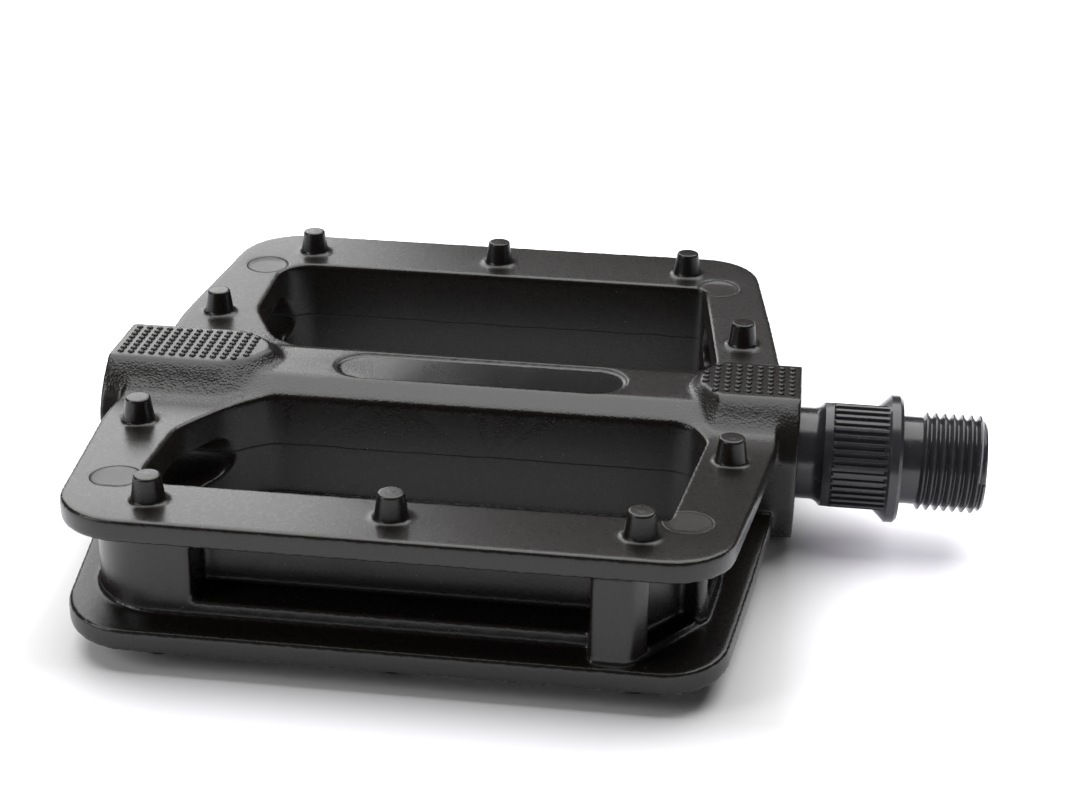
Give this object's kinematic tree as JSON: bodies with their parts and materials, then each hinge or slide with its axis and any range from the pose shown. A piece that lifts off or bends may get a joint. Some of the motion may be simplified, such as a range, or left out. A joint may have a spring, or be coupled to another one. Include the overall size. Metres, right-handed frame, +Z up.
{
  "type": "flat pedal",
  "caption": "Flat bicycle platform pedal: a hollowed cast body with cast grip studs on both faces, turning on a threaded steel axle with caged ball races.",
  "frame": {"origin": "on the axle's axis, in the plane of the axle shoulder that seats on the crank", "axes": "+X along the axle into the crank, +Y towards the pedal's rear edge, +Z up out of the upper tread face"},
  "size_m": [0.1289, 0.108, 0.0258],
  "materials": {
    "body_paint": "satin black paint on cast aluminium, pebbled on the slopes",
    "axle_steel": "semi-gloss black oxide on turned steel",
    "seal_rubber": "matte",
    "race_steel": "ground and hardened",
    "cage_steel": "stamped",
    "zinc_steel": "zinc plated",
    "ball_steel": "polished",
    "cap_plastic": "fine sand grain"
  },
  "bodies": {
    "pedal_body": {"pedal_body": "body_paint", "inboard_seal": "seal_rubber", "inboard_cup": "race_steel", "outboard_cup": "race_steel", "dust_cap": "cap_plastic"},
    "axle": {"axle": "axle_steel", "outboard_cone": "race_steel", "keyed_washer": "zinc_steel", "lock_nut": "zinc_steel"},
    "inboard_bearing": {"inboard_ball_cage": "cage_steel", "inboard_ball_01": "ball_steel", "inboard_ball_02": "ball_steel", "inboard_ball_03": "ball_steel", "inboard_ball_04": "ball_steel", "inboard_ball_05": "ball_steel", "inboard_ball_06": "ball_steel", "inboard_ball_07": "ball_steel", "inboard_ball_08": "ball_steel", "inboard_ball_09": "ball_steel", "inboard_ball_10": "ball_steel", "inboard_ball_11": "ball_steel"},
    "outboard_bearing": {"outboard_ball_cage": "cage_steel", "outboard_ball_01": "ball_steel", "outboard_ball_02": "ball_steel", "outboard_ball_03": "ball_steel", "outboard_ball_04": "ball_steel", "outboard_ball_05": "ball_steel", "outboard_ball_06": "ball_steel", "outboard_ball_07": "ball_steel", "outboard_ball_08": "ball_steel", "outboard_ball_09": "ball_steel", "outboard_ball_10": "ball_steel", "outboard_ball_11": "ball_steel"}
  },
  "joints": [
    {"name": "axle_spin", "type": "hinge", "parent": "pedal_body", "child": "axle", "pos_m": [0, 0, 0], "axis": [1, 0, 0], "continuous": true},
    {"name": "inboard_bearing_roll", "type": "hinge", "parent": "pedal_body", "child": "inboard_bearing", "pos_m": [-0.0229, 0, 0], "axis": [1, 0, 0], "continuous": true},
    {"name": "outboard_bearing_roll", "type": "hinge", "parent": "pedal_body", "child": "outboard_bearing", "pos_m": [-0.1054, 0, 0], "axis": [1, 0, 0], "continuous": true}
  ],
  "couplings": [
    {"joint": "inboard_bearing_roll", "follows": "axle_spin", "ratio": 0.418},
    {"joint": "outboard_bearing_roll", "follows": "axle_spin", "ratio": 0.4123}
  ]
}
